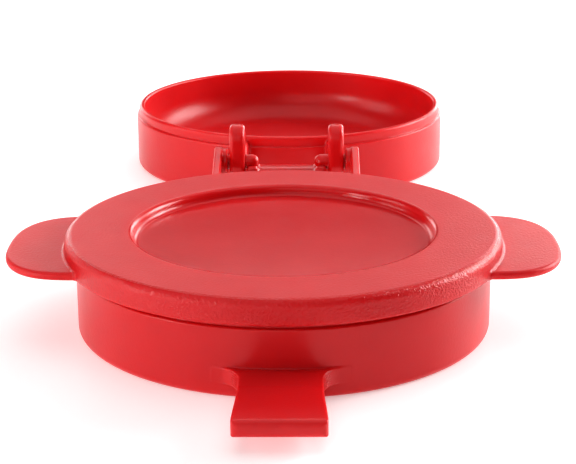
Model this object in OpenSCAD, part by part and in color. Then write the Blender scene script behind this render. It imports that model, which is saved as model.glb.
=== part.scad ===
// Hinged patty press: two round dishes that fold shut on each other, a loose
// winged press plate, and two hinge pins. Millimetres, +Z up.
// The origin is the centre of the base dish's underside. The base's tab points
// along -Y, and the top dish lies open on the far side of the hinge, along +Y.

/* [Dishes] */
// Outer radius of both dishes
dish_r = 60; // [55:0.5:65]
// Height of both dishes, from the table to the rim
dish_h = 23.3; // [22:0.1:26]
// Thickness of the dish wall
dish_wall = 3; // [2.6:0.1:3.4]
// Height of the stepped-in band below the rim
rim_band_h = 3.6; // [2.5:0.1:5]
// How far the band is stepped in from the wall
rim_step = 1; // [0.5:0.1:1.2]
// Thickness of the dish floor
dish_floor = 3; // [2:0.1:4]
// Radius of the inside corner between floor and wall
dish_cove_r = 12; // [6:0.5:14]
// Radius of the outer bottom edge
dish_foot_r = 2; // [1:0.25:4]
// Distance between the dish centres when the press lies open
dish_pitch = 185; // [180:0.5:195]

/* [Press plate] */
// Outer radius of the press plate
plate_r = 63.1; // [62:0.1:70]
// Height of the plate's top above the rim of the base
plate_rise = 5.5; // [5:0.1:8]
// Thickness of the plate
plate_t = 3; // [2.5:0.1:4]
// Radius of the plate's top outer edge
plate_edge_r = 2.5; // [1:0.25:3]
// Radius of the recess, at its rounded upper edge
recess_r = 45.1; // [35:0.1:48]
// Depth of the recess
recess_depth = 3.3; // [2.5:0.1:4]
// How far the skirt reaches down over the rim
skirt_lap = 1.8; // [1:0.1:3]
// Thickness of the skirt
skirt_t = 2.5; // [1.8:0.1:2.6]
// Depth of the locating ring below the rim
ring_depth = 3; // [2:0.1:5]
// Thickness of the locating ring
ring_t = 2.5; // [1.8:0.1:3]

/* [Wings] */
// Distance from the centre to the tip of each wing
wing_reach = 79.8; // [74:0.1:85]
// Half width of each wing
wing_half_w = 27.3; // [20:0.1:32]
// Thickness of each wing
wing_t = 2.4; // [2:0.1:3]

/* [Tabs] */
// Distance from the dish centre to the front of its tab
tab_reach = 93; // [85:0.5:100]
// Width of the tab at its waist
tab_waist_w = 22; // [18:0.5:28]
// Width of the tab at its front
tab_front_w = 23.8; // [22:0.1:30]
// Height of the tab's underside above the table
tab_z = 4; // [3:0.1:6]
// Thickness of the tab
tab_t = 4.7; // [3:0.1:6]

/* [Hinge] */
// Radius of the hinge pins
pin_r = 2.5; // [2:0.1:2.8]
// Distance from the middle to the near face of each hook
hook_x = 14.2; // [13.5:0.1:16]
// Thickness of each hook
hook_t = 5.3; // [4:0.1:6]
// Length of the slot that lets the top dish float
slot_travel = 8.1; // [7:0.1:9]
// Distance from the middle to the near face of each outer ear
ear_x = 22; // [21.5:0.1:24]
// Thickness of each outer ear
ear_t = 2.7; // [2:0.1:4]
// Outer radius of the ears and hooks, about the pin
knuckle_r = 5; // [4.6:0.1:5.2]
// Side gap between each hook and the boss and cradle beside it
hook_gap = 0.6; // [0.4:0.1:1]

/* [Hidden] */
$fn = 96;

// Gap between the plate and the base where they would touch
seat_gap = 0.3;
// Radial clearance of a pin in an ear, and in a slot
bore_gap = 0.05;
slot_gap = 0.1;
// How far ribs and tabs run into the wall that carries them
bury = 1.3;

dish_in_r = dish_r - dish_wall;
band_r = dish_r - rim_step;
band_z = dish_h - rim_band_h;
shoulder_r = 0.6;
rim_outer_r = 1;
rim_inner_r = 0.8;

axis_y = dish_pitch / 2;
axis_z = dish_h;

plate_top = dish_h + plate_rise;
recess_floor_z = plate_top - recess_depth;
recess_edge_r = 1.8;
recess_wall_r = recess_r - recess_edge_r;
recess_cove_r = recess_depth - recess_edge_r;
skirt_z = dish_h - skirt_lap;
skirt_in_r = plate_r - skirt_t;
seat_z = dish_h + seat_gap;
// The ring clears the dish wall by as much as the skirt clears the rim
ring_out_r = dish_in_r - (skirt_in_r - band_r);
ring_in_r = ring_out_r - ring_t;
ring_z = dish_h - ring_depth;

wing_z = skirt_z;
wing_centre = 58;
wing_squareness = 2.6;

tab_flare_r = 9;
tab_flare_angle = 60;
tab_lip_r = 2;
tab_root_y = dish_r - 15;
tab_flare_y = dish_r + 6;
tab_straight_y = dish_r + 15;
tab_blank_x = 40;

// The hinge bracket is a slab below the skirt, with ears outside the hooks and
// cradles inside them
slab_top = skirt_z - 0.5;
slab_t = 4.5;
slab_half_w = hook_x - hook_gap;
cradle_x = hook_x - 4.4;
cradle_top = axis_z - 0.8;
rib_foot_z = 8;
ear_slope = 20;
ear_slope_y = plate_r + 3;
boss_x = hook_x + hook_t + hook_gap;
boss_r = knuckle_r - 0.4;
pin_inner_x = hook_x - 4.7;
arm_top = axis_z - 1.5;
arm_root_y = dish_pitch - dish_r + 15;
// How far a cutter passes the faces it cuts
over = 1;

// Points along an arc about a centre, from angle a0 to angle a1
function arc(centre, r, a0, a1, n = 8) =
    [for (i = [0:n]) let (a = a0 + (a1 - a0) * i / n) centre + r * [cos(a), sin(a)]];

// Points of half a squared ellipse, from its +Y end through +X to its -Y end
function half_oval(a, b, squareness, n = 32) =
    [for (i = [0:n]) let (t = 90 - 180 * i / n)
        [a * pow(abs(cos(t)), 2 / squareness), b * sign(t) * pow(abs(sin(t)), 2 / squareness)]];

// Stands a (Y, Z) outline up and gives it a thickness along X, starting at x
module upright(x, t) {
    translate([x, 0, 0]) rotate([90, 0, 90]) linear_extrude(t) children();
}

// Makes a copy on the other side of the middle
module both_sides() {
    children();
    mirror([1, 0, 0]) children();
}

module dish_shell() {
    rotate_extrude() polygon(concat(
        [[0, 0]],
        arc([dish_r - dish_foot_r, dish_foot_r], dish_foot_r, -90, 0),
        arc([dish_r - shoulder_r, band_z - shoulder_r], shoulder_r, 0, 90),
        [[band_r, band_z]],
        arc([band_r - rim_outer_r, dish_h - rim_outer_r], rim_outer_r, 0, 90),
        arc([dish_in_r + rim_inner_r, dish_h - rim_inner_r], rim_inner_r, 90, 180),
        arc([dish_in_r - dish_cove_r, dish_floor + dish_cove_r], dish_cove_r, 0, -90),
        [[0, dish_floor]]
    ));
}

// A flared finger tab that points along -Y
module grip_tab() {
    waist = tab_waist_w / 2;
    front = tab_front_w / 2;
    difference() {
        intersection() {
            translate([0, 0, tab_z]) linear_extrude(tab_t) polygon(concat(
                [[tab_flare_r + waist, -tab_root_y], [-tab_flare_r - waist, -tab_root_y]],
                arc([-waist - tab_flare_r, -tab_flare_y], tab_flare_r, tab_flare_angle, 0),
                [[-waist, -tab_straight_y]],
                arc([-front + tab_lip_r, -tab_reach + tab_lip_r], tab_lip_r, 180, 270),
                arc([front - tab_lip_r, -tab_reach + tab_lip_r], tab_lip_r, 270, 360),
                [[waist, -tab_straight_y]],
                arc([waist + tab_flare_r, -tab_flare_y], tab_flare_r, 180, 180 - tab_flare_angle)
            ));
            upright(-tab_blank_x, 2 * tab_blank_x) polygon(concat(
                [[0, tab_z + tab_t], [0, tab_z]],
                arc([-tab_reach + tab_lip_r, tab_z + tab_lip_r], tab_lip_r, 270, 180),
                arc([-tab_reach + tab_lip_r, tab_z + tab_t - tab_lip_r], tab_lip_r, 180, 90)
            ));
        }
        cylinder(r = dish_r - bury, h = 4 * dish_h, center = true);
    }
}

// The outer rib, ear and boss that hold the far end of a pin
module outer_ear() {
    upright(ear_x, ear_t) polygon([
        [axis_y / 2, rib_foot_z],
        [axis_y, axis_z - knuckle_r],
        [axis_y, axis_z],
        [axis_y - knuckle_r * sin(ear_slope), axis_z + knuckle_r * cos(ear_slope)],
        [ear_slope_y, slab_top],
        [axis_y / 2, slab_top]
    ]);
    translate([ear_x, axis_y, axis_z]) rotate([0, 90, 0]) cylinder(r = knuckle_r, h = ear_t);
    translate([boss_x, axis_y, axis_z]) rotate([0, 90, 0]) cylinder(r = boss_r, h = ear_x + ear_t / 2 - boss_x);
}

// The low block under the domed end of a pin
module cradle() {
    upright(cradle_x, slab_half_w - cradle_x) polygon([
        [axis_y - knuckle_r, slab_top - slab_t],
        [axis_y + knuckle_r, slab_top - slab_t],
        [axis_y + knuckle_r, cradle_top],
        [axis_y - knuckle_r, cradle_top]
    ]);
}

module hinge_bracket() {
    difference() {
        union() {
            both_sides() outer_ear();
            both_sides() cradle();
            translate([-slab_half_w, axis_y / 2, slab_top - slab_t])
                cube([2 * slab_half_w, axis_y / 2 + knuckle_r, slab_t]);
        }
        cylinder(r = dish_r - bury, h = 4 * dish_h, center = true);
        translate([-2 * ear_x, axis_y, axis_z]) rotate([0, 90, 0])
            cylinder(r = pin_r + bore_gap, h = 4 * ear_x);
    }
}

// The arm and slotted hook of the top dish, on the +X side
module hook() {
    difference() {
        union() {
            upright(hook_x, hook_t) polygon([
                [axis_y, axis_z - knuckle_r],
                [arm_root_y, rib_foot_z],
                [arm_root_y, arm_top],
                [axis_y, arm_top]
            ]);
            upright(hook_x, hook_t) translate([axis_y - knuckle_r, axis_z])
                square([2 * knuckle_r, slot_travel]);
            for (rise = [0, slot_travel])
                translate([hook_x, axis_y, axis_z + rise]) rotate([0, 90, 0])
                    cylinder(r = knuckle_r, h = hook_t);
        }
        for (rise = [0, slot_travel])
            translate([hook_x - over, axis_y, axis_z + rise]) rotate([0, 90, 0])
                cylinder(r = pin_r + slot_gap, h = hook_t + 2 * over);
        upright(hook_x - over, hook_t + 2 * over) translate([axis_y - pin_r - slot_gap, axis_z])
            square([2 * (pin_r + slot_gap), slot_travel]);
        translate([0, dish_pitch, 0]) cylinder(r = dish_r - bury, h = 4 * dish_h, center = true);
    }
}

module base_dish() {
    color([0.80, 0.07, 0.10]) {
        dish_shell();
        grip_tab();
        hinge_bracket();
    }
}

module top_dish() {
    color([0.80, 0.07, 0.10]) {
        translate([0, dish_pitch, 0]) dish_shell();
        translate([0, dish_pitch, 0]) mirror([0, 1, 0]) grip_tab();
        both_sides() hook();
    }
}

// A thin rounded ear for the fingers, on the +X side of the plate
module wing() {
    difference() {
        translate([wing_centre, 0, wing_z]) linear_extrude(wing_t)
            polygon(half_oval(wing_reach - wing_centre, wing_half_w, wing_squareness));
        cylinder(r = skirt_in_r + skirt_t / 3, h = 4 * dish_h, center = true);
    }
}

module plate_shell() {
    rotate_extrude() polygon(concat(
        [[0, recess_floor_z]],
        arc([recess_wall_r - recess_cove_r, recess_floor_z + recess_cove_r], recess_cove_r, -90, 0),
        arc([recess_r, plate_top - recess_edge_r], recess_edge_r, 180, 90),
        arc([plate_r - plate_edge_r, plate_top - plate_edge_r], plate_edge_r, 90, 0),
        [
            [plate_r, skirt_z],
            [skirt_in_r, skirt_z],
            [skirt_in_r, seat_z],
            [ring_out_r, seat_z],
            [ring_out_r, ring_z],
            [ring_in_r, ring_z],
            [ring_in_r, plate_top - plate_t],
            [recess_wall_r + plate_t, plate_top - plate_t],
            [recess_wall_r + plate_t, recess_floor_z - plate_t],
            [0, recess_floor_z - plate_t]
        ]
    ));
}

module press_plate() {
    color([0.86, 0.11, 0.13]) {
        plate_shell();
        both_sides() wing();
    }
}

// A plain pin with a domed inner end, on the +X side
module hinge_pin() {
    translate([pin_inner_x + pin_r, axis_y, axis_z]) {
        sphere(r = pin_r);
        rotate([0, 90, 0]) cylinder(r = pin_r, h = ear_x + ear_t - pin_inner_x - pin_r);
    }
}

module hinge_pin_left() {
    color([0.84, 0.10, 0.12]) mirror([1, 0, 0]) hinge_pin();
}

module hinge_pin_right() {
    color([0.84, 0.10, 0.12]) hinge_pin();
}

base_dish();
top_dish();
press_plate();
hinge_pin_left();
hinge_pin_right();
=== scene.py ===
"""The looks of a hinged patty press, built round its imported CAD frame.

Each moulding is one closed mesh. Its shape is a signed distance field in millimetres,
below zero inside the plastic, with every corner and joint rounded as a mould would
round it. The mesh is drawn on a polar grid about the dish's own axis, and its points
are then moved onto the surface itself. The pins are turned shapes.
"""

import math

import bpy
import numpy as np
from mathutils import Matrix, Vector


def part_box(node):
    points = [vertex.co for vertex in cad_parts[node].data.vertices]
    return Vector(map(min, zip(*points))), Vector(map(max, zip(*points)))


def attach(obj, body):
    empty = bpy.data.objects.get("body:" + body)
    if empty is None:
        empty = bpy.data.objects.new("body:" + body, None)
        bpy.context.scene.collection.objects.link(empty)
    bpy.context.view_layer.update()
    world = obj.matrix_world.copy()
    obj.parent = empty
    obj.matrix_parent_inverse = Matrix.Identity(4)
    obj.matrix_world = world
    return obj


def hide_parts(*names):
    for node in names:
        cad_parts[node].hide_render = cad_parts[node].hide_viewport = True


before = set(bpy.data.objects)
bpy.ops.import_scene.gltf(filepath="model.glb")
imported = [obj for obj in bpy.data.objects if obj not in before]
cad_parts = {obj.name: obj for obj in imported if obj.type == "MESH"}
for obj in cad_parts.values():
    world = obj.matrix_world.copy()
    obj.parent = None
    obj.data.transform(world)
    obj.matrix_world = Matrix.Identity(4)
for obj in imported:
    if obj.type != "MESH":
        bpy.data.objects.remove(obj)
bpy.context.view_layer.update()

MM = 0.001


# ---------------------------------------------------------------- sizes, in millimetres

def box_mm(node):
    low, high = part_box(node)
    return np.array(low) / MM, np.array(high) / MM


base_low, base_high = box_mm("base_dish")
_, top_high = box_mm("top_dish")
plate_low, plate_high = box_mm("press_plate")
pin_low, pin_high = box_mm("hinge_pin_right")

# The hinge
TAB_REACH = -base_low[1]
PITCH = top_high[1] - TAB_REACH
AXIS_Y = PITCH / 2
AXIS_Z = (pin_low[2] + pin_high[2]) / 2
PIN_R = (pin_high[2] - pin_low[2]) / 2
PIN_BEVEL = 0.3
BORE_GAP = 0.05
SLOT_GAP = 0.1
KNUCKLE_R = base_high[2] - AXIS_Z
SLOT_TRAVEL = top_high[2] - KNUCKLE_R - AXIS_Z

# The two dishes
DISH_R = base_high[0]
RIM_Z = AXIS_Z
DISH_WALL = 3.0
DISH_IN_R = DISH_R - DISH_WALL
RIM_STEP = 1.0
BAND_R = DISH_R - RIM_STEP
BAND_H = 3.6
BAND_Z = RIM_Z - BAND_H
FLOOR_Z = 3.0
COVE_R = 12.0
FOOT_R = 2.0
SHOULDER_R = 0.6
STEP_FILLET_R = 0.3
RIM_OUTER_R = 1.0
RIM_INNER_R = 0.8
# Where tabs, ribs and arms end inside the wall that carries them
BURY_R = DISH_R - 1.3

# The press plate
PLATE_R = plate_high[1]
PLATE_TOP = plate_high[2]
PLATE_T = 3.0
PLATE_EDGE_R = 2.5
RECESS_WALL_R = 43.3
RECESS_DEPTH = 3.3
RECESS_FLOOR_Z = PLATE_TOP - RECESS_DEPTH
RECESS_EDGE_R = 1.8
RECESS_COVE_R = 1.5
BOSS_R = RECESS_WALL_R + PLATE_T
BOSS_EDGE_R = 1.5
SKIRT_LAP = 1.8
SKIRT_Z = RIM_Z - SKIRT_LAP
SKIRT_T = 2.5
SKIRT_IN_R = PLATE_R - SKIRT_T
SKIRT_OUTER_EDGE_R = 0.6
SKIRT_INNER_EDGE_R = 0.5
SEAT_GAP = 0.3
SEAT_Z = RIM_Z + SEAT_GAP
SEAT_CORNER_R = 0.3
RING_T = 2.5
RING_OUT_R = DISH_IN_R - (SKIRT_IN_R - BAND_R)
RING_IN_R = RING_OUT_R - RING_T
RING_Z = plate_low[2]
RING_TIP_R = 0.8
UNDERSIDE_FILLET_R = 0.5
POCKET_CORNER_R = 1.0

# The wings of the plate
WING_REACH = plate_high[0]
WING_CENTRE = 58.0
WING_HALF_W = 27.3
WING_T = 2.4
WING_SQUARENESS = 2.6
WING_EDGE_R = 1.15
WING_ROOT_R = 0.8
WING_BURY_R = SKIRT_IN_R + 0.8

# The finger tabs
TAB_Z = 4.0
TAB_T = 4.7
TAB_WAIST = 11.0
TAB_FRONT = 11.9
TAB_FLARE_R = 9.0
TAB_FLARE_SHARE = 0.97
TAB_FLARE_START = DISH_R + 6
TAB_SPREAD_START = DISH_R + 11
TAB_EDGE_R = 0.6
TAB_LIP_R = 1.9
TAB_ROOT_R = 0.35

# The ears, slab and cradles on the base dish
EAR_X = 22.0
EAR_T = 2.7
EAR_EDGE_R = 0.7
SLAB_T = 4.5
SLAB_TOP = SKIRT_Z - 0.5
SLAB_Z = SLAB_TOP - SLAB_T
SLAB_EDGE_R = 0.8
EAR_RAMP_START = (DISH_R + 6, SLAB_TOP)
EAR_RAMP_END = (AXIS_Y - 1.7, AXIS_Z + KNUCKLE_R - 0.3)
EAR_RAMP_R = 4.0
RIB_FOOT_Z = 8.0
BRACKET_REACH = AXIS_Y + KNUCKLE_R
BRACKET_ROOT_R = 1.0
BORE_EDGE_R = 0.25

# The arms and slotted hooks on the top dish
HOOK_X = 14.2
HOOK_T = 5.3
HOOK_GAP = 0.6
HOOK_EDGE_R = 1.6
HOOK_CROTCH_R = 1.5
HOOK_ROOT_R = 1.2
SLOT_EDGE_R = 0.4
ARM_TOP = AXIS_Z - 1.5
ARM_ROOT_Y = PITCH - DISH_R + 15

# What stands beside the hooks
PIN_BOSS_X = HOOK_X + HOOK_T + HOOK_GAP
PIN_BOSS_R = KNUCKLE_R - 0.4
PIN_BOSS_EDGE_R = 0.5
SLAB_HALF_W = HOOK_X - HOOK_GAP
CRADLE_X = HOOK_X - 4.4
CRADLE_TOP = AXIS_Z - 0.8
CRADLE_CREST_R = 1.1


# ---------------------------------------------------------------- distance fields

def join(a, b, r):
    """Two shapes in one, with a fillet of radius r where they meet."""
    fillet = np.hypot(np.maximum(r - a, 0), np.maximum(r - b, 0))
    return np.maximum(r, np.minimum(a, b)) - fillet


def meet(a, b, r):
    """What two shapes share, with an edge of radius r where they cross."""
    edge = np.hypot(np.maximum(r + a, 0), np.maximum(r + b, 0))
    return np.minimum(-r, np.maximum(a, b)) + edge


def between(v, low, high):
    return np.abs(v - (low + high) / 2) - (high - low) / 2


def above(y, z, start, end):
    """Distance above the line from start to end, which runs towards +Y."""
    run, rise = end[0] - start[0], end[1] - start[1]
    return ((z - start[1]) * run - (y - start[0]) * rise) / math.hypot(run, rise)


def dish(x, y, z):
    r = np.hypot(x, y)
    wall = meet(r - DISH_R, z - BAND_Z, SHOULDER_R)
    band = meet(r - BAND_R, z - RIM_Z, RIM_OUTER_R)
    body = meet(join(wall, band, STEP_FILLET_R), -z, FOOT_R)
    hollow = meet(r - DISH_IN_R, FLOOR_Z - z, COVE_R)
    return meet(body, -hollow, RIM_INNER_R)


def tab(x, out, z):
    """The flared finger tab. out is the distance from the dish's centre along it."""
    flare = np.clip(TAB_FLARE_START - out, 0, TAB_FLARE_SHARE * TAB_FLARE_R)
    curve = np.sqrt(TAB_FLARE_R ** 2 - flare ** 2)
    spread = np.clip((out - TAB_SPREAD_START) / (TAB_REACH - TAB_SPREAD_START), 0, 1)
    half = TAB_WAIST + TAB_FLARE_R - curve
    half = half + (TAB_FRONT - TAB_WAIST) * spread ** 2 * (3 - 2 * spread)
    side = (np.abs(x) - half) / np.hypot(1, flare / curve)
    bar = meet(side, between(z, TAB_Z, TAB_Z + TAB_T), TAB_EDGE_R)
    bar = meet(bar, out - TAB_REACH, TAB_LIP_R)
    return np.maximum(bar, np.maximum(DISH_R / 2 - out, BURY_R - np.hypot(x, out)))


def ear(s, y, z):
    """The rib, ear and boss for a pin's outer end. s is the distance from the middle."""
    from_axis = np.hypot(y - AXIS_Y, z - AXIS_Z)
    ramp = above(y, z, EAR_RAMP_START, EAR_RAMP_END)
    foot = above(y, z, (AXIS_Y / 2, RIB_FOOT_Z), (AXIS_Y, AXIS_Z - KNUCKLE_R))
    rib = np.maximum(join(z - SLAB_TOP, ramp, EAR_RAMP_R), -foot)
    rib = np.maximum(rib, between(y, AXIS_Y / 2, AXIS_Y))
    outline = np.minimum(rib, from_axis - KNUCKLE_R)
    plate = meet(outline, between(s, EAR_X, EAR_X + EAR_T), EAR_EDGE_R)
    boss = meet(from_axis - PIN_BOSS_R, between(s, PIN_BOSS_X, EAR_X + 1), PIN_BOSS_EDGE_R)
    return join(plate, boss, PIN_BOSS_EDGE_R)


def bracket(x, y, z):
    s = np.abs(x)
    slab = meet(between(z, SLAB_Z, SLAB_TOP), between(y, AXIS_Y / 2, BRACKET_REACH), SLAB_EDGE_R)
    slab = meet(slab, s - SLAB_HALF_W, SLAB_EDGE_R)
    cradle_length = between(y, AXIS_Y - KNUCKLE_R, BRACKET_REACH)
    cradle = meet(between(s, CRADLE_X, SLAB_HALF_W), cradle_length, SLAB_EDGE_R)
    cradle = meet(meet(cradle, z - CRADLE_TOP, CRADLE_CREST_R), SLAB_Z - z, SLAB_EDGE_R)
    both = np.minimum(ear(s, y, z), join(slab, cradle, SLAB_EDGE_R))
    bore = np.hypot(y - AXIS_Y, z - AXIS_Z) - PIN_R - BORE_GAP
    both = meet(both, -bore, BORE_EDGE_R)
    return np.maximum(both, BURY_R - np.hypot(x, y))


def hook(x, y, z):
    """The arms and slotted hooks that carry the top dish on the pins."""
    rise = np.clip(z - AXIS_Z, 0, SLOT_TRAVEL)
    from_slot = np.hypot(y - AXIS_Y, z - AXIS_Z - rise)
    foot = above(y, z, (AXIS_Y, AXIS_Z - KNUCKLE_R), (ARM_ROOT_Y, RIB_FOOT_Z))
    arm = np.maximum(np.maximum(z - ARM_TOP, -foot), between(y, AXIS_Y, ARM_ROOT_Y))
    outline = join(from_slot - KNUCKLE_R, arm, HOOK_CROTCH_R)
    body = meet(outline, between(np.abs(x), HOOK_X, HOOK_X + HOOK_T), HOOK_EDGE_R)
    body = meet(body, PIN_R + SLOT_GAP - from_slot, SLOT_EDGE_R)
    return np.maximum(body, BURY_R - np.hypot(x, y - PITCH))


def wing(x, y, z):
    """A squared half ellipse at each side of the plate. least keeps divisions off zero."""
    least = 0.01
    length = WING_REACH - WING_CENTRE
    n = WING_SQUARENESS
    u = np.maximum(np.abs(x) - WING_CENTRE, 0) / length
    v = np.abs(y) / WING_HALF_W
    p = np.maximum((u ** n + v ** n) ** (1 / n), least)
    steepness = np.hypot((u / p) ** (n - 1) / length, (v / p) ** (n - 1) / WING_HALF_W)
    outline = (p - 1) / np.maximum(steepness, least)
    flat = meet(outline, between(z, SKIRT_Z, SKIRT_Z + WING_T), WING_EDGE_R)
    return np.maximum(flat, WING_BURY_R - np.hypot(x, y))


def base_field(x, y, z):
    shell = join(dish(x, y, z), bracket(x, y, z), BRACKET_ROOT_R)
    return join(shell, tab(x, -y, z), TAB_ROOT_R)


def top_field(x, y, z):
    shell = join(dish(x, y - PITCH, z), hook(x, y, z), HOOK_ROOT_R)
    return join(shell, tab(x, y - PITCH, z), TAB_ROOT_R)


def plate_field(x, y, z):
    r = np.hypot(x, y)
    disc = meet(r - PLATE_R, z - PLATE_TOP, PLATE_EDGE_R)
    disc = meet(disc, SKIRT_Z - z, SKIRT_OUTER_EDGE_R)
    seat = meet(r - SKIRT_IN_R, z - SEAT_Z, SEAT_CORNER_R)
    disc = meet(disc, -seat, SKIRT_INNER_EDGE_R)
    # The ring and the boss run 1 mm up into the disc
    buried_top = z - SEAT_Z - 1
    ring = meet(between(r, RING_IN_R, RING_OUT_R), RING_Z - z, RING_TIP_R)
    boss = meet(r - BOSS_R, RECESS_FLOOR_Z - PLATE_T - z, BOSS_EDGE_R)
    solid = join(disc, np.maximum(ring, buried_top), UNDERSIDE_FILLET_R)
    solid = join(solid, np.maximum(boss, buried_top), UNDERSIDE_FILLET_R)
    pocket = meet(between(r, BOSS_R, RING_IN_R), z - PLATE_TOP + PLATE_T, POCKET_CORNER_R)
    solid = meet(solid, -pocket, UNDERSIDE_FILLET_R)
    recess = meet(r - RECESS_WALL_R, RECESS_FLOOR_Z - z, RECESS_COVE_R)
    solid = meet(solid, -recess, RECESS_EDGE_R)
    return join(solid, wing(x, y, z), WING_ROOT_R)


# ---------------------------------------------------------------- meshing

# How far apart the field is sampled to find its slope
SAMPLE = 0.02
# How points are moved onto the surface: the number of moves, the longest one, and
# the least square of the slope that they trust
MOVES, LONGEST_MOVE, LEAST_SLOPE = 4, 0.4, 0.2
# How sharply an edge bends, per millimetre, when it counts as fully worn
WORN_BEND = 2.0


def ladder(start, *stages):
    """Grid lines from start, in stages of (end, step)."""
    lines = [start]
    for end, step in stages:
        count = max(1, round((end - lines[-1]) / step))
        lines.extend(np.linspace(lines[-1], end, count + 1)[1:])
    return np.array(lines)


def gradient(field, points):
    """The field's value and slope at each point, and how sharply it bends outwards there."""
    here = field(*points.T)
    slope = np.empty_like(points)
    bend = np.zeros(len(points))
    for axis in range(3):
        step = np.zeros(3)
        step[axis] = SAMPLE
        ahead, behind = field(*(points + step).T), field(*(points - step).T)
        slope[:, axis] = (ahead - behind) / (2 * SAMPLE)
        bend += (ahead + behind - 2 * here) / SAMPLE ** 2
    return here, slope, bend


def polar_mesh(field, radii, angles, heights, centre_y):
    """Points, quads and triangles of the closed surface where the field is zero.

    Every grid cell that the surface crosses gets one point, and every grid edge that
    it crosses gets one quad between the four cells around that edge.
    """
    turn = np.radians(angles)
    r, a, z = np.meshgrid(radii, turn[:-1], heights, indexing="ij")
    f = field(r * np.cos(a), centre_y + r * np.sin(a), z)
    shape = np.array(f.shape)
    # A cell's number, and where in it (from 0 to 1 each way) the surface crosses an edge
    cells, spots, quads = [], [], []
    for axis in range(3):
        u, v = (axis + 1) % 3, (axis + 2) % 3
        ahead = np.roll(f, -1, axis)
        crossed = (f < 0) != (ahead < 0)
        if axis != 1:
            crossed[(slice(None),) * axis + (-1,)] = False
        at = np.argwhere(crossed)
        low, high = f[crossed], ahead[crossed]
        corners = []
        for du, dv in ((0, 0), (-1, 0), (-1, -1), (0, -1)):
            cell = at.copy()
            cell[:, u] += du
            cell[:, v] += dv
            cell[:, 1] %= shape[1]
            spot = np.zeros((len(at), 3))
            spot[:, axis] = low / (low - high)
            spot[:, u] = -du
            spot[:, v] = -dv
            number = np.ravel_multi_index(np.maximum(cell, 0).T, shape)
            number[cell[:, 0] < 0] = -1
            corners.append(number)
            cells.append(number)
            spots.append(spot)
        quad = np.stack(corners, axis=1)
        quad[low > 0] = quad[low > 0][:, ::-1]
        quads.append(quad[(quad >= 0).all(axis=1)])
    cells, spots, quads = map(np.concatenate, (cells, spots, quads))
    # A cell's point starts at the middle of its crossings
    used, quads = np.unique(quads, return_inverse=True)
    quads = quads.reshape(-1, 4)
    keep = np.isin(cells, used)
    slot = np.searchsorted(used, cells[keep])
    count = np.bincount(slot)
    middle = np.stack([np.bincount(slot, spots[keep, i]) / count for i in range(3)], axis=1)
    ijk = np.stack(np.unravel_index(used, shape), axis=1)

    def place(lines, axis):
        first = lines[ijk[:, axis]]
        return first + middle[:, axis] * (lines[ijk[:, axis] + 1] - first)

    r, a, z = place(radii, 0), place(turn, 1), place(heights, 2)
    points = np.stack([r * np.cos(a), centre_y + r * np.sin(a), z], axis=1)
    for _ in range(MOVES):
        value, slope, _ = gradient(field, points)
        size = np.maximum((slope ** 2).sum(axis=1), LEAST_SLOPE)
        points -= np.clip(value / size, -LONGEST_MOVE, LONGEST_MOVE)[:, None] * slope
    return close_middle(points, quads, centre_y)


def close_middle(points, quads, centre_y):
    """Fans that close the small holes on the axis, where the polar grid begins."""
    tail, head = quads.ravel(), np.roll(quads, -1, axis=1).ravel()
    size = len(points)
    is_open = ~np.isin(tail * size + head, head * size + tail)
    tail, head = tail[is_open], head[is_open]
    upper = points[tail, 2] > points[tail, 2].mean()
    triangles = []
    for side in (upper, ~upper):
        middle = len(points)
        z = points[tail[side], 2].mean()
        points = np.vstack([points, (0, centre_y, z)])
        fan = np.stack([head[side], tail[side], np.full(side.sum(), middle)], axis=1)
        triangles.append(fan)
    return points, quads, np.vstack(triangles)


def add_piece(name, points, faces):
    mesh = bpy.data.meshes.new(name)
    mesh.from_pydata(points * MM, [], faces)
    mesh.shade_smooth()
    mesh.attributes.new("wear", "FLOAT", "POINT")
    piece = bpy.data.objects.new(name, mesh)
    bpy.context.scene.collection.objects.link(piece)
    return piece


def moulding(name, field, radii, angles, heights, centre_y):
    points, quads, triangles = polar_mesh(field, radii, angles, heights, centre_y)
    _, slope, bend = gradient(field, points)
    length = np.linalg.norm(slope, axis=1)
    normals = slope / np.maximum(length, 1e-6)[:, None]
    piece = add_piece(name, points, quads.tolist() + triangles.tolist())
    wear = np.clip(bend / WORN_BEND, 0, 1).astype(np.float32)
    piece.data.attributes["wear"].data.foreach_set("value", wear)
    piece.data.normals_split_custom_set_from_vertices(normals)
    return piece


def pin_profile():
    """(x, radius) points of the right pin, from beside its domed inner tip to its bevelled end."""
    dome_steps, shaft_steps, bevel_steps = 12, 24, 4
    dome_end = pin_low[0] + PIN_R
    shaft_end = pin_high[0] - PIN_BEVEL
    profile = []
    for step in range(1, dome_steps + 1):
        turn = math.radians(90) * step / dome_steps
        profile.append((dome_end - PIN_R * math.cos(turn), PIN_R * math.sin(turn)))
    for step in range(1, shaft_steps + 1):
        profile.append((dome_end + (shaft_end - dome_end) * step / shaft_steps, PIN_R))
    for step in range(1, bevel_steps + 1):
        turn = math.radians(90) * step / bevel_steps
        along = shaft_end + PIN_BEVEL * math.sin(turn)
        profile.append((along, PIN_R - PIN_BEVEL * (1 - math.cos(turn))))
    return profile


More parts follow.
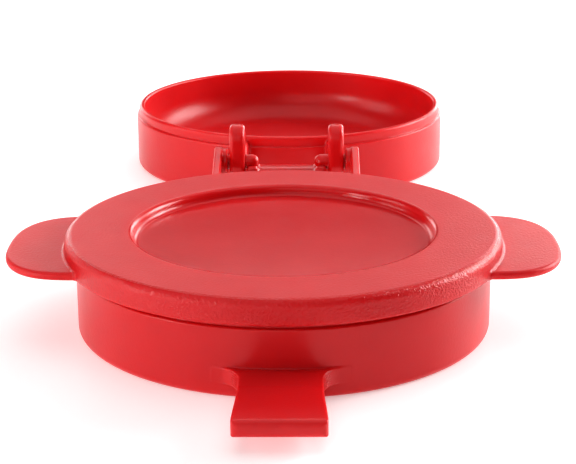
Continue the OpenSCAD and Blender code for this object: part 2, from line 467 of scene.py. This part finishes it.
def turned_pin(name, side):
    """A plain pin with a domed inner end. side is -1 on the left and 1 on the right."""
    segments = 64
    profile = pin_profile()
    points = [(side * pin_low[0], AXIS_Y, AXIS_Z)]
    for along, radius in profile:
        for step in range(segments):
            turn = 2 * math.pi * step / segments
            y, z = AXIS_Y + radius * math.cos(turn), AXIS_Z + radius * math.sin(turn)
            points.append((side * along, y, z))
    points.append((side * pin_high[0], AXIS_Y, AXIS_Z))
    faces = []
    for step in range(segments):
        after = (step + 1) % segments
        faces.append((0, 1 + after, 1 + step))
        for ring in range(len(profile) - 1):
            near = 1 + ring * segments
            far = near + segments
            faces.append((near + step, near + after, far + after, far + step))
        last = 1 + (len(profile) - 1) * segments
        faces.append((last + step, last + after, len(points) - 1))
    if side < 0:
        faces = [face[::-1] for face in faces]
    return add_piece(name, np.array(points), faces)


# ---------------------------------------------------------------- materials

class Nodes:
    """A node tree, with short ways to add and join nodes."""

    def __init__(self, tree, coordinates):
        self.tree = tree
        self.place = self.add("ShaderNodeTexCoord").outputs[coordinates]
        split = self.add("ShaderNodeSeparateXYZ")
        self.join(self.place, split.inputs[0])
        self.x, self.y, self.z = split.outputs

    def add(self, kind, **settings):
        node = self.tree.nodes.new(kind)
        for key, value in settings.items():
            setattr(node, key, value)
        return node

    def join(self, output, socket):
        self.tree.links.new(output, socket)

    def math(self, operation, *values):
        """Each value is a number or an output."""
        node = self.add("ShaderNodeMath", operation=operation)
        for value, socket in zip(values, node.inputs):
            if isinstance(value, (int, float)):
                socket.default_value = value
            else:
                self.join(value, socket)
        return node.outputs[0]

    def from_z_axis(self):
        """The distance from the upright axis through the origin."""
        squares = [self.math("POWER", value, 2.0) for value in (self.x, self.y)]
        return self.math("SQRT", self.math("ADD", *squares))

    def noise(self, size_mm, detail, roughness=0.5):
        """Noise whose features are about size_mm across."""
        node = self.add("ShaderNodeTexNoise")
        node.inputs["Scale"].default_value = 1 / (size_mm * MM)
        node.inputs["Detail"].default_value = detail
        node.inputs["Roughness"].default_value = roughness
        self.join(self.place, node.inputs["Vector"])
        return node.outputs["Fac"]

    def span(self, value, low, high, to_low, to_high):
        node = self.add("ShaderNodeMapRange")
        ends = {"From Min": low, "From Max": high, "To Min": to_low, "To Max": to_high}
        for key, number in ends.items():
            node.inputs[key].default_value = number
        self.join(value, node.inputs["Value"])
        return node.outputs["Result"]

    def ramp_mm(self, distance, start, end):
        """Goes from 0 to 1 as a distance goes from start to end, in millimetres."""
        return self.span(distance, start * MM, end * MM, 0, 1)

    def blend(self, factor, first, second):
        """first and second are each a colour or an output."""
        node = self.add("ShaderNodeMix", data_type="RGBA")
        self.join(factor, node.inputs["Factor"])
        for key, colour in (("A", first), ("B", second)):
            socket = [s for s in node.inputs if s.name == key and s.type == "RGBA"][0]
            if isinstance(colour, tuple):
                socket.default_value = (*colour, 1)
            else:
                self.join(colour, socket)
        return [s for s in node.outputs if s.type == "RGBA"][0]

    def bump(self, height, depth_mm, normal=None):
        node = self.add("ShaderNodeBump")
        node.inputs["Strength"].default_value = 1
        node.inputs["Distance"].default_value = depth_mm * MM
        self.join(height, node.inputs["Height"])
        if normal:
            self.join(normal, node.inputs["Normal"])
        return node.outputs["Normal"]


RED = (0.66, 0.0120, 0.016)
DEEP_RED = (0.62, 0.0100, 0.014)
WORN_RED = (0.72, 0.035, 0.038)

# The sizes of the patterns in the plastic, in millimetres, and how strong they are
CLOUD_MM = 22
FLOW_MM, FLOW_DEPTH_MM = 14, 0.012
GLOSS_MM, GLOSS_CHANGE = 9, 0.02
RUB_MM, MOST_WEAR = 2.5, 0.5
CUTTER_PITCH_MM, CUTTER_DEPTH_MM = 0.65, 0.10


class RedPlastic(Nodes):
    """Moulded polypropylene: clouded colour, edges rubbed paler, and a finish with a fine grain."""

    def __init__(self, name, roughness, grain_mm, grain_depth_mm):
        self.material = bpy.data.materials.new(name)
        self.material.use_nodes = True
        super().__init__(self.material.node_tree, "Object")
        self.sockets = self.tree.nodes["Principled BSDF"].inputs
        self.sockets["IOR"].default_value = 1.42
        self.sockets["Subsurface Weight"].default_value = 0.6
        self.sockets["Subsurface Radius"].default_value = (1.0, 0.10, 0.06)
        self.sockets["Subsurface Scale"].default_value = 4 * MM
        # Noise keeps mostly between 0.3 and 0.7, so each pattern spreads that part of it out
        cloud = self.span(self.noise(CLOUD_MM, 3), 0.35, 0.65, 0, 1)
        body = self.blend(cloud, DEEP_RED, RED)
        patches = self.span(self.noise(RUB_MM, 4), 0.4, 0.7, 0, MOST_WEAR)
        wear = self.add("ShaderNodeAttribute", attribute_name="wear").outputs["Fac"]
        rubbed = self.math("MULTIPLY", patches, wear)
        self.join(self.blend(rubbed, body, WORN_RED), self.sockets["Base Color"])
        low, high = roughness - GLOSS_CHANGE, roughness + GLOSS_CHANGE
        self.rough = self.span(self.noise(GLOSS_MM, 5, 0.6), 0.3, 0.7, low, high)
        self.grain = self.noise(grain_mm, 2, 0.6)
        self.grain_depth_mm = grain_depth_mm

    def flow_marks(self):
        return self.bump(self.noise(FLOW_MM, 2), FLOW_DEPTH_MM)

    def finish(self, rough, normal):
        self.join(rough, self.sockets["Roughness"])
        self.join(normal, self.sockets["Normal"])
        return self.material


def pin_plastic():
    """The pins are smooth."""
    n = RedPlastic("red_pin", roughness=0.30, grain_mm=0.5, grain_depth_mm=0.02)
    return n.finish(n.rough, n.bump(n.grain, n.grain_depth_mm, n.flow_marks()))


def dish_plastic():
    """The sides of the tab's flare keep the fine level marks of the cutter that made the mould."""
    n = RedPlastic("red_dish", roughness=0.30, grain_mm=0.8, grain_depth_mm=0.04)
    out = n.math("MULTIPLY", n.y, -1.0)
    past_wall = n.ramp_mm(out, DISH_R + 0.3, DISH_R + 0.8)
    past_flare = n.ramp_mm(out, TAB_FLARE_START + 5, TAB_FLARE_START + 6)
    flare = n.math("SUBTRACT", past_wall, past_flare)
    waves = n.math("SINE", n.math("MULTIPLY", n.z, 2 * math.pi / (CUTTER_PITCH_MM * MM)))
    marks = n.math("MULTIPLY", waves, flare)
    grain = n.bump(n.grain, n.grain_depth_mm)
    return n.finish(n.rough, n.bump(marks, CUTTER_DEPTH_MM, grain))


def plate_plastic():
    """The recess is polished, the flat margin is matt, and the rounded edge is rubbed by hands."""
    n = RedPlastic("red_plate", roughness=0.20, grain_mm=0.8, grain_depth_mm=0.20)
    margin_dulling, edge_polish = 0.26, 0.22
    recess_grain, margin_grain, edge_grain = 0.25, 0.65, 1.25
    r = n.from_z_axis()
    margin = n.ramp_mm(r, RECESS_WALL_R + 1, RECESS_WALL_R + 2)
    past_flat = n.ramp_mm(r, PLATE_R - PLATE_EDGE_R, PLATE_R - 1)
    past_plate = n.ramp_mm(r, PLATE_R + 0.5, PLATE_R + 1)
    edge = n.math("SUBTRACT", past_flat, past_plate)
    rough = n.math("ADD", n.rough, n.math("MULTIPLY", margin, margin_dulling))
    rough = n.math("SUBTRACT", rough, n.math("MULTIPLY", edge, edge_polish))
    flat_grain = n.span(margin, 0, 1, recess_grain, margin_grain)
    strength = n.math("ADD", flat_grain, n.math("MULTIPLY", edge, edge_grain))
    grain = n.math("MULTIPLY", n.grain, strength)
    return n.finish(rough, n.bump(grain, n.grain_depth_mm, n.flow_marks()))


PLASTICS = {
    "dish_plastic": dish_plastic(),
    "plate_plastic": plate_plastic(),
    "pin_plastic": pin_plastic(),
}


# ---------------------------------------------------------------- the pieces

# The grids: radii and heights in millimetres, angles in degrees. Lines are close together
# where a piece has small features. Each stage ends beside a face, so that no line lies on one.
GRID_START = 0.6
TAB_SECTOR, TAB_STEP = 20, 0.35
HINGE_SECTOR, HINGE_STEP = 26, 0.3
WING_SECTOR, WING_STEP = 33, 0.4
PLAIN_STEP = 2.0
PLAIN_PLATE_STEP = 1.5

dish_radii = ladder(
    GRID_START,
    (DISH_IN_R - COVE_R - 0.7, 4),
    (DISH_IN_R - 0.5, 0.7),
    (DISH_R + 0.25, 0.2),
    (DISH_R + 2.1, 0.31),
    (BRACKET_REACH + 4.2, 0.45),
)
dish_heights = ladder(
    -0.43,
    (FLOOR_Z - 0.23, 0.24),
    (BAND_Z - 0.83, 0.43),
    (BAND_Z + 0.57, 0.2),
    (RIM_Z - 1.33, 0.4),
    (RIM_Z + 0.47, 0.2),
)

base_angles = ladder(
    -90 - TAB_SECTOR,
    (-90 + TAB_SECTOR, TAB_STEP),
    (90 - HINGE_SECTOR, PLAIN_STEP),
    (90 + HINGE_SECTOR, HINGE_STEP),
    (270 - TAB_SECTOR, PLAIN_STEP),
)
base_heights = np.append(dish_heights, ladder(RIM_Z + 0.8, (RIM_Z + KNUCKLE_R + 0.7, 0.35)))
base_piece = moulding("base_dish_moulding", base_field, dish_radii, base_angles, base_heights, 0)

top_angles = ladder(
    -90 - HINGE_SECTOR,
    (-90 + HINGE_SECTOR, HINGE_STEP),
    (90 - TAB_SECTOR, PLAIN_STEP),
    (90 + TAB_SECTOR, TAB_STEP),
    (270 - HINGE_SECTOR, PLAIN_STEP),
)
top_heights = np.append(dish_heights, ladder(RIM_Z + 0.8, (top_high[2] + 0.6, 0.35)))
top_piece = moulding("top_dish_moulding", top_field, dish_radii, top_angles, top_heights, PITCH)

plate_radii = ladder(
    GRID_START,
    (RECESS_WALL_R - 3.1, 4),
    (BOSS_R + 1.4, 0.25),
    (RING_IN_R - 0.6, 0.8),
    (PLATE_R + 1.2, 0.25),
    (WING_REACH + 0.9, 0.5),
)
plate_angles = ladder(
    -WING_SECTOR,
    (WING_SECTOR, WING_STEP),
    (180 - WING_SECTOR, PLAIN_PLATE_STEP),
    (180 + WING_SECTOR, WING_STEP),
    (360 - WING_SECTOR, PLAIN_PLATE_STEP),
)
plate_heights = ladder(RING_Z - 0.43, (PLATE_TOP + 0.47, 0.2))
plate_piece = moulding("press_plate_moulding", plate_field, plate_radii, plate_angles, plate_heights, 0)

left_pin = turned_pin("hinge_pin_left_turned", -1)
right_pin = turned_pin("hinge_pin_right_turned", 1)

for piece, body, node, slot in (
    (base_piece, "base", "base_dish", "dish_plastic"),
    (top_piece, "top", "top_dish", "dish_plastic"),
    (plate_piece, "plate", "press_plate", "plate_plastic"),
    (left_pin, "pins", "hinge_pin_left", "pin_plastic"),
    (right_pin, "pins", "hinge_pin_right", "pin_plastic"),
):
    piece.data.materials.append(PLASTICS[slot])
    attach(piece, body)
    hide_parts(node)


# ---------------------------------------------------------------- floor, light and camera

def make_floor():
    """A white table that glows a little, as a lit acrylic sheet does, and more towards its far ends."""
    half = 6.0
    near, far = 0.5, 1.2
    near_glow, far_glow = 0.30, 0.95
    white, pale, cloud_mm = (0.90, 0.90, 0.90), (0.88, 0.88, 0.88), 300
    material = bpy.data.materials.new("studio_floor")
    material.use_nodes = True
    n = Nodes(material.node_tree, "Object")
    sockets = n.tree.nodes["Principled BSDF"].inputs
    n.join(n.blend(n.noise(cloud_mm, 2), pale, white), sockets["Base Color"])
    sockets["Roughness"].default_value = 0.6
    sockets["Emission Color"].default_value = (1, 1, 1, 1)
    glow = n.span(n.from_z_axis(), near, far, near_glow, far_glow)
    n.join(glow, sockets["Emission Strength"])
    mesh = bpy.data.meshes.new("studio_floor")
    corners = [(-half, -half, 0), (half, -half, 0), (half, half, 0), (-half, half, 0)]
    mesh.from_pydata(corners, [], [(0, 1, 2, 3)])
    mesh.materials.append(material)
    floor = bpy.data.objects.new("studio_floor", mesh)
    bpy.context.scene.collection.objects.link(floor)


SOFT_LIGHTS = {
    # place in metres, width and height in metres, power in watts
    "window_right": ((0.60, 0.28, 0.25), 0.35, 3.2),
    "window_left": ((-0.65, 0.10, 0.25), 0.35, 1.0),
    "front_left": ((-0.70, -0.38, 0.18), 0.20, 1.8),
    "front": ((-0.3, -0.9, 0.45), 0.9, 2.0),
    "overhead": ((0.0, 0.10, 0.90), 1.2, 4.0),
    "back_high": ((0.0, 0.60, 0.45), 0.35, 0.7),
    "back_left": ((-0.35, 0.90, 0.15), 0.35, 1.1),
    "back_right": ((0.35, 0.90, 0.15), 0.35, 1.8),
}
LIGHT_TARGET = Vector((0, 0.06, 0.02))
WORLD_GLOWS = (
    # azimuth and elevation in degrees, spread in degrees, strength
    (35, 4, 14, 2.1),
    (30, 22, 8, 6.0),
)
AMBIENT = 0.03


def soft_light(name, place, size, power):
    light = bpy.data.lights.new(name, "AREA")
    light.shape = "SQUARE"
    light.size = size
    light.energy = power
    lamp = bpy.data.objects.new(name, light)
    bpy.context.scene.collection.objects.link(lamp)
    lamp.location = place
    lamp.rotation_euler = (LIGHT_TARGET - Vector(place)).to_track_quat("-Z", "Y").to_euler()


def make_world():
    """A dim room with a large window low behind the object, to the right."""
    world = bpy.data.worlds.new("studio_world")
    world.use_nodes = True
    n = Nodes(world.node_tree, "Generated")
    strength = AMBIENT
    for azimuth, elevation, spread, peak in WORLD_GLOWS:
        across, up = math.radians(azimuth), math.radians(elevation)
        flat = math.cos(up)
        toward = n.add("ShaderNodeVectorMath", operation="DOT_PRODUCT")
        n.join(n.place, toward.inputs[0])
        centre = (math.cos(across) * flat, math.sin(across) * flat, math.sin(up))
        toward.inputs[1].default_value = centre
        off = n.math("SUBTRACT", toward.outputs["Value"], 1.0)
        fall = n.math("EXPONENT", n.math("DIVIDE", off, math.radians(spread) ** 2))
        strength = n.math("ADD", n.math("MULTIPLY", fall, peak), strength)
    background = n.tree.nodes["Background"]
    background.inputs["Color"].default_value = (1, 1, 1, 1)
    n.join(strength, background.inputs["Strength"])
    bpy.context.scene.world = world


def make_camera():
    """The camera looks down at 17.5 degrees, from in front of the base's tab."""
    place = (0.00639, -0.45845, 0.1718)
    yaw, pitch, roll = -0.0110, 0.3058, -0.0057
    flat = math.cos(pitch)
    ahead = Vector((math.sin(yaw) * flat, math.cos(yaw) * flat, -math.sin(pitch)))
    level = Vector((math.cos(yaw), -math.sin(yaw), 0))
    upright = level.cross(ahead)
    right = math.cos(roll) * level + math.sin(roll) * upright
    up = math.cos(roll) * upright - math.sin(roll) * level
    data = bpy.data.cameras.new("camera")
    data.lens = 103.7
    data.sensor_width = 36
    data.clip_start = 0.01
    camera = bpy.data.objects.new("camera", data)
    bpy.context.scene.collection.objects.link(camera)
    turn = Matrix((right, up, -ahead)).transposed()
    camera.matrix_world = Matrix.Translation(place) @ turn.to_4x4()
    bpy.context.scene.camera = camera


make_floor()
make_world()
for light_name, light_values in SOFT_LIGHTS.items():
    soft_light(light_name, *light_values)
make_camera()
bpy.context.scene.view_settings.view_transform = "Standard"
bpy.context.scene.view_settings.look = "Medium High Contrast"
